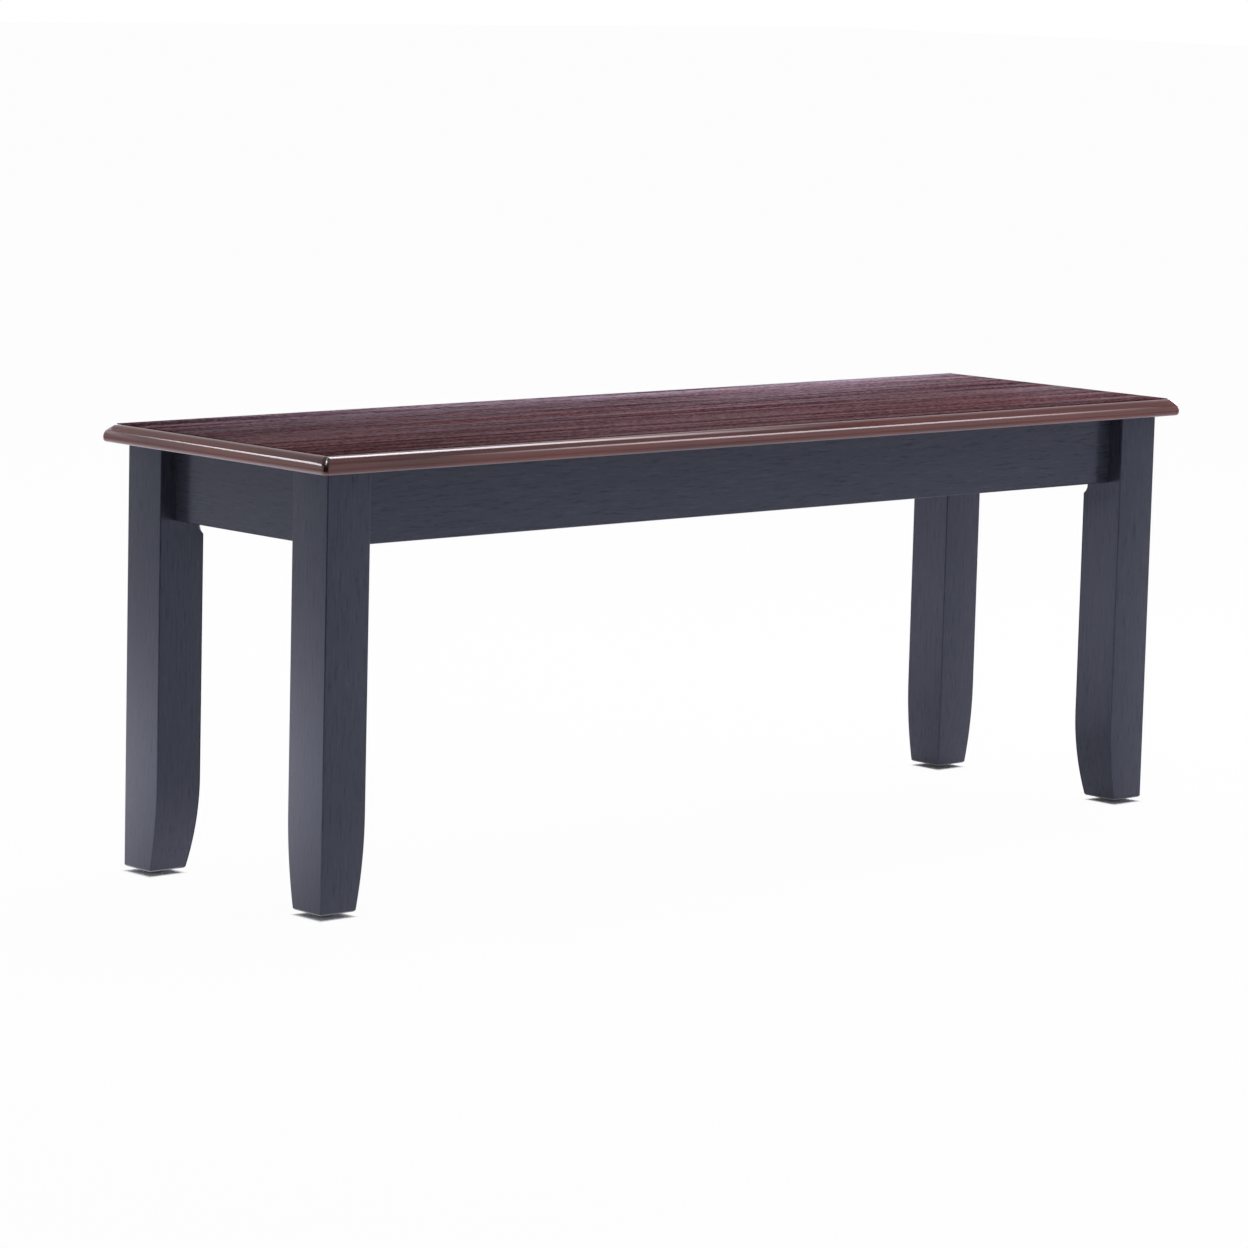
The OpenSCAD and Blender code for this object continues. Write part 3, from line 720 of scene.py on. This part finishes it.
class BENCH_OT_glides(bpy.types.Operator):
    """Builds the four turned glides under the legs"""
    bl_idname = "bench.glides"
    bl_label = "Glides"

    def execute(self, context):
        sizes = context.scene.bench_glide
        nylon = moulded_nylon()
        nails_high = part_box("glide_nails")[1]
        rim, room = sizes.rim_radius, sizes.nail_clearance
        top_rim = rim / 4
        for end, side in CORNERS:
            node = f"glide_{end}_{side}"
            low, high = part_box(node)
            centre = ((low.x + high.x) / 2, (low.y + high.y) / 2)
            radius, tall = (high.x - low.x) / 2, high.z - low.z
            head = (nails_high.x + centre[0]) if side == "left" else (nails_high.x - centre[0])
            shank = head / NAIL_HEAD_TO_SHANK
            lower = arc((radius - rim, rim), rim, -math.pi / 2, 0, LOWER_RIM_STEPS)
            upper = arc((radius - top_rim, tall - top_rim), top_rim, 0, math.pi / 2, UPPER_RIM_STEPS)
            hole = np.array([
                (shank + room, tall), (shank + room, sizes.nail_recess),
                (head + room, sizes.nail_recess), (head + room, 0),
            ])
            outline = np.concatenate([lower, upper, hole])
            piece = turned_surface(f"nylon_glide_{end}_{side}", outline, centre)
            dress(piece, nylon)
            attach(piece, "root")
            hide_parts(node)
        return {"FINISHED"}


class BENCH_OT_seat_board(bpy.types.Operator):
    """Finishes the seat field, the board under it and its backing"""
    bl_idname = "bench.seat_board"
    bl_label = "Seat Board"

    def execute(self, context):
        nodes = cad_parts
        board = backing_board()
        dress(nodes["seat_face_veneer"], seat_veneer(context.scene.bench_finishes))
        dress(nodes["seat_back_veneer"], board)
        dress(nodes["seat_core"], board)
        return {"FINISHED"}


class BENCH_OT_aprons(bpy.types.Operator):
    """Finishes the four lacquered aprons"""
    bl_idname = "bench.aprons"
    bl_label = "Aprons"

    def execute(self, context):
        for place, axis in (("front", "X"), ("rear", "X"), ("left", "Y"), ("right", "Y")):
            dress(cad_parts["apron_" + place], lacquer(axis))
        return {"FINISHED"}


class BENCH_OT_inner_frame(bpy.types.Operator):
    """Finishes the bare corner blocks and the cross rail"""
    bl_idname = "bench.inner_frame"
    bl_label = "Blocks and Rail"

    def execute(self, context):
        blocks = sawn_wood("X")
        for end, side in CORNERS:
            dress(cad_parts[f"block_{end}_{side}"], blocks)
        dress(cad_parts["cross_rail"], sawn_wood("Y"))
        return {"FINISHED"}


class BENCH_OT_hardware(bpy.types.Operator):
    """Finishes the bolts, nuts, washers, nails and screws"""
    bl_idname = "bench.hardware"
    bl_label = "Hardware"

    def execute(self, context):
        zinc = plated_steel("zinc_plated_steel", "C4C6CA", 0.28, 0.42)
        yellow = plated_steel("yellow_zinc_screws", "D0B26A", 0.30, 0.44)
        for name in ("hanger_bolts", "bolt_washers", "bolt_nuts", "glide_nails"):
            dress(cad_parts[name], zinc)
        for name in ("block_screws", "seat_screws", "rail_end_screws"):
            dress(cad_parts[name], yellow)
        return {"FINISHED"}


def mirrored_rays(tree, ray):
    """One for the rays that a gloss or a clear surface sends on, and zero for the others."""
    return compute(tree, "MAXIMUM", ray["Is Glossy Ray"], ray["Is Transmission Ray"])


def studio_world(settings):
    """World that the camera and the gloss see as the white backdrop near the horizon, greyer overhead,
    while everything else gets the soft fill."""
    world = bpy.data.worlds.new("studio_world")
    world.use_nodes = True
    tree = world.node_tree
    tree.nodes.clear()
    ray = add_node(tree, "ShaderNodeLightPath").outputs
    direction = add_node(tree, "ShaderNodeTexCoord").outputs["Generated"]
    overhead = remap(tree, axes_of(tree, direction)["Z"], *OVERHEAD_HEIGHTS, 1.0, OVERHEAD_GREY, smooth=True)
    softened = mix(tree, mirrored_rays(tree, ray), settings.fill, overhead)
    strength = mix(tree, ray["Is Camera Ray"], softened, 1.0)
    back = add_node(tree, "ShaderNodeBackground", {"Strength": strength, "Color": grey(1.0)})
    add_node(tree, "ShaderNodeOutputWorld", {"Surface": back.outputs["Background"]})
    bpy.context.scene.world = world


def studio_floor(settings):
    """Pale floor: its own light and shadow near the bench. Further out it turns into the backdrop's white
    for the camera. Gloss sees the same floor with less of that white, so that it keeps its falloff. From
    underneath the floor is clear, so that the bench can be looked at from there."""
    half = FLOOR_HALF
    points = np.array([(-half, -half, 0), (half, -half, 0), (half, half, 0), (-half, half, 0)])
    floor = mesh_object("studio_floor", points, [[0, 1, 2, 3]])
    material, tree = new_material("matt_studio_floor")
    ray = add_node(tree, "ShaderNodeLightPath").outputs
    place = object_place(tree)
    low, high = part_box("glide_rear_right")
    foot = ((low.x + high.x) / 2, (low.y + high.y) / 2, 0)
    folded = compute_vector(tree, "ABSOLUTE", place)
    from_foot = axes_of(tree, compute_vector(tree, "ABSOLUTE", compute_vector(tree, "SUBTRACT", folded, foot)))
    away = compute(tree, "MAXIMUM", from_foot["X"], from_foot["Y"])
    white_share = remap(tree, away, *FOOT_SHADOW, 0.0, FLOOR_WHITE, smooth=True)
    from_dim = compute_vector(tree, "DISTANCE", place, DIM_CENTRE)
    gloss_share = remap(tree, from_dim, *DIM_DISTANCES, 0.0, GLOSS_WHITE)
    gloss_lift = compute(tree, "MULTIPLY", mirrored_rays(tree, ray), gloss_share)
    lift = mix(tree, ray["Is Camera Ray"], gloss_lift, white_share)
    plain = add_node(tree, "ShaderNodeBsdfDiffuse", {"Color": tuple(settings.backdrop)})
    white = add_node(tree, "ShaderNodeEmission", {"Color": grey(1.0), "Strength": 1.0})
    lit = add_node(tree, "ShaderNodeMixShader", {
        0: lift, 1: plain.outputs["BSDF"], 2: white.outputs["Emission"],
    })
    surface = add_node(tree, "ShaderNodeMixShader", {
        0: add_node(tree, "ShaderNodeNewGeometry").outputs["Backfacing"],
        1: lit.outputs["Shader"], 2: add_node(tree, "ShaderNodeBsdfTransparent").outputs["BSDF"],
    })
    finish_surface(tree, surface.outputs["Shader"])
    dress(floor, material)


def softbox(glow):
    """One studio panel: flat, hidden from the camera and without a shadow. Its light is full in the middle
    and fades to nothing at the edges. A clear panel lets what lies behind it show through its glow."""
    corners = ((-1, -1), (1, -1), (1, 1), (-1, 1))
    points = np.array([
        Vector(glow.centre) + Vector(glow.half_across) * u + Vector(glow.half_up) * v for u, v in corners
    ])
    panel = mesh_object(glow.name, points, [[0, 1, 2, 3]])
    layer = panel.data.uv_layers.new(name="panel")
    layer.uv.foreach_set("vector", np.array(corners, dtype=np.float32).ravel())
    material, tree = new_material(glow.name)
    place = axes_of(tree, add_node(tree, "ShaderNodeUVMap", uv_map="panel").outputs["UV"])
    across, up = (
        remap(tree, compute(tree, "ABSOLUTE", place[axis]), 1 - fade, 1.0, 1.0, 0.0, smooth=True)
        for axis, fade in zip(("X", "Y"), glow.fades)
    )
    strength = compute(tree, "MULTIPLY", compute(tree, "MULTIPLY", across, up), glow.radiance)
    surface = add_node(tree, "ShaderNodeEmission", {
        "Color": linear(glow.colour), "Strength": strength,
    }).outputs["Emission"]
    if glow.clear:
        behind = add_node(tree, "ShaderNodeBsdfTransparent").outputs["BSDF"]
        surface = add_node(tree, "ShaderNodeAddShader", {0: surface, 1: behind}).outputs["Shader"]
    finish_surface(tree, surface)
    dress(panel, material)
    panel.visible_camera = False
    panel.visible_shadow = False
    panel.visible_diffuse = not glow.gloss_only


def low_lamp(name, place, target, width, depth, power):
    """One soft rectangular lamp near the floor, turned towards a target. Gloss and camera don't see it."""
    data = bpy.data.lights.new(name, "AREA")
    data.shape = "RECTANGLE"
    data.size, data.size_y = width, depth
    data.energy = power
    lamp = bpy.data.objects.new(name, data)
    bpy.context.scene.collection.objects.link(lamp)
    lamp.location = place
    lamp.rotation_euler = (Vector(target) - Vector(place)).to_track_quat("-Z", "Y").to_euler()
    lamp.visible_camera = False
    lamp.visible_glossy = False


def studio_camera(settings):
    """Camera at the photograph's place. Its axes are the level right and up of the viewing direction,
    turned together by the roll."""
    turn, dip, roll = settings.camera_turn, settings.camera_dip, settings.camera_roll
    ahead = Vector((math.sin(turn) * math.cos(dip), math.cos(turn) * math.cos(dip), -math.sin(dip)))
    level = ahead.cross(Vector((0, 0, 1))).normalized()
    raised = level.cross(ahead)
    right = math.cos(roll) * level + math.sin(roll) * raised
    up = math.cos(roll) * raised - math.sin(roll) * level
    data = bpy.data.cameras.new("photo_camera")
    data.lens = settings.camera_lens
    data.sensor_width = SENSOR_WIDTH
    data.shift_x, data.shift_y = -0.5 / PHOTO_SIDE, 0.5 / PHOTO_SIDE
    data.clip_end = VIEW_DISTANCE
    camera = bpy.data.objects.new("photo_camera", data)
    bpy.context.scene.collection.objects.link(camera)
    axes = Matrix((right, up, -ahead)).transposed().to_4x4()
    camera.matrix_world = Matrix.Translation(settings.camera_place) @ axes
    bpy.context.scene.camera = camera


class BENCH_OT_stage(bpy.types.Operator):
    """Sets up the camera, the pale floor, the backdrop and the softboxes"""
    bl_idname = "bench.stage"
    bl_label = "Studio"

    def execute(self, context):
        settings = context.scene.bench_stage
        studio_camera(settings)
        studio_world(settings)
        studio_floor(settings)
        for glow in GLOWS:
            softbox(glow)
        for lamp in LOW_LAMPS:
            low_lamp(*lamp)
        softbox(BLACK_FLAG)
        context.scene.view_settings.view_transform = "Standard"
        return {"FINISHED"}


class BENCH_PT_sidebar(bpy.types.Panel):
    """Lists the bench's pieces and sizes"""
    bl_idname = "BENCH_PT_sidebar"
    bl_label = "Dining Bench"
    bl_space_type = "VIEW_3D"
    bl_region_type = "UI"
    bl_category = "Bench"

    def draw(self, context):
        for operator in OPERATORS:
            self.layout.operator(operator.bl_idname)
        for name in SETTINGS:
            group = getattr(context.scene, name)
            box = self.layout.box()
            for key in group.bl_rna.properties.keys():
                if key not in ("rna_type", "name"):
                    box.prop(group, key)


OPERATORS = (
    BENCH_OT_seat_board, BENCH_OT_mouldings, BENCH_OT_aprons, BENCH_OT_legs, BENCH_OT_glides,
    BENCH_OT_inner_frame, BENCH_OT_hardware, BENCH_OT_stage,
)
SETTINGS = {
    "bench_moulding": MouldingSizes,
    "bench_leg": LegSizes,
    "bench_glide": GlideSizes,
    "bench_finishes": FinishColours,
    "bench_stage": StageSettings,
}
CLASSES = (*SETTINGS.values(), *OPERATORS, BENCH_PT_sidebar)


def register():
    """Adds the sizes, the operators and the panel to Blender."""
    for item in CLASSES:
        bpy.utils.register_class(item)
    for name, group in SETTINGS.items():
        setattr(bpy.types.Scene, name, bpy.props.PointerProperty(type=group))


def unregister():
    """Takes them out again, last first."""
    for name in SETTINGS:
        delattr(bpy.types.Scene, name)
    for item in reversed(CLASSES):
        bpy.utils.unregister_class(item)


def main():
    """Builds the whole bench and its stage."""
    register()
    for operator in OPERATORS:
        group, name = operator.bl_idname.split(".")
        getattr(getattr(bpy.ops, group), name)()


if __name__ == "__main__":
    main()
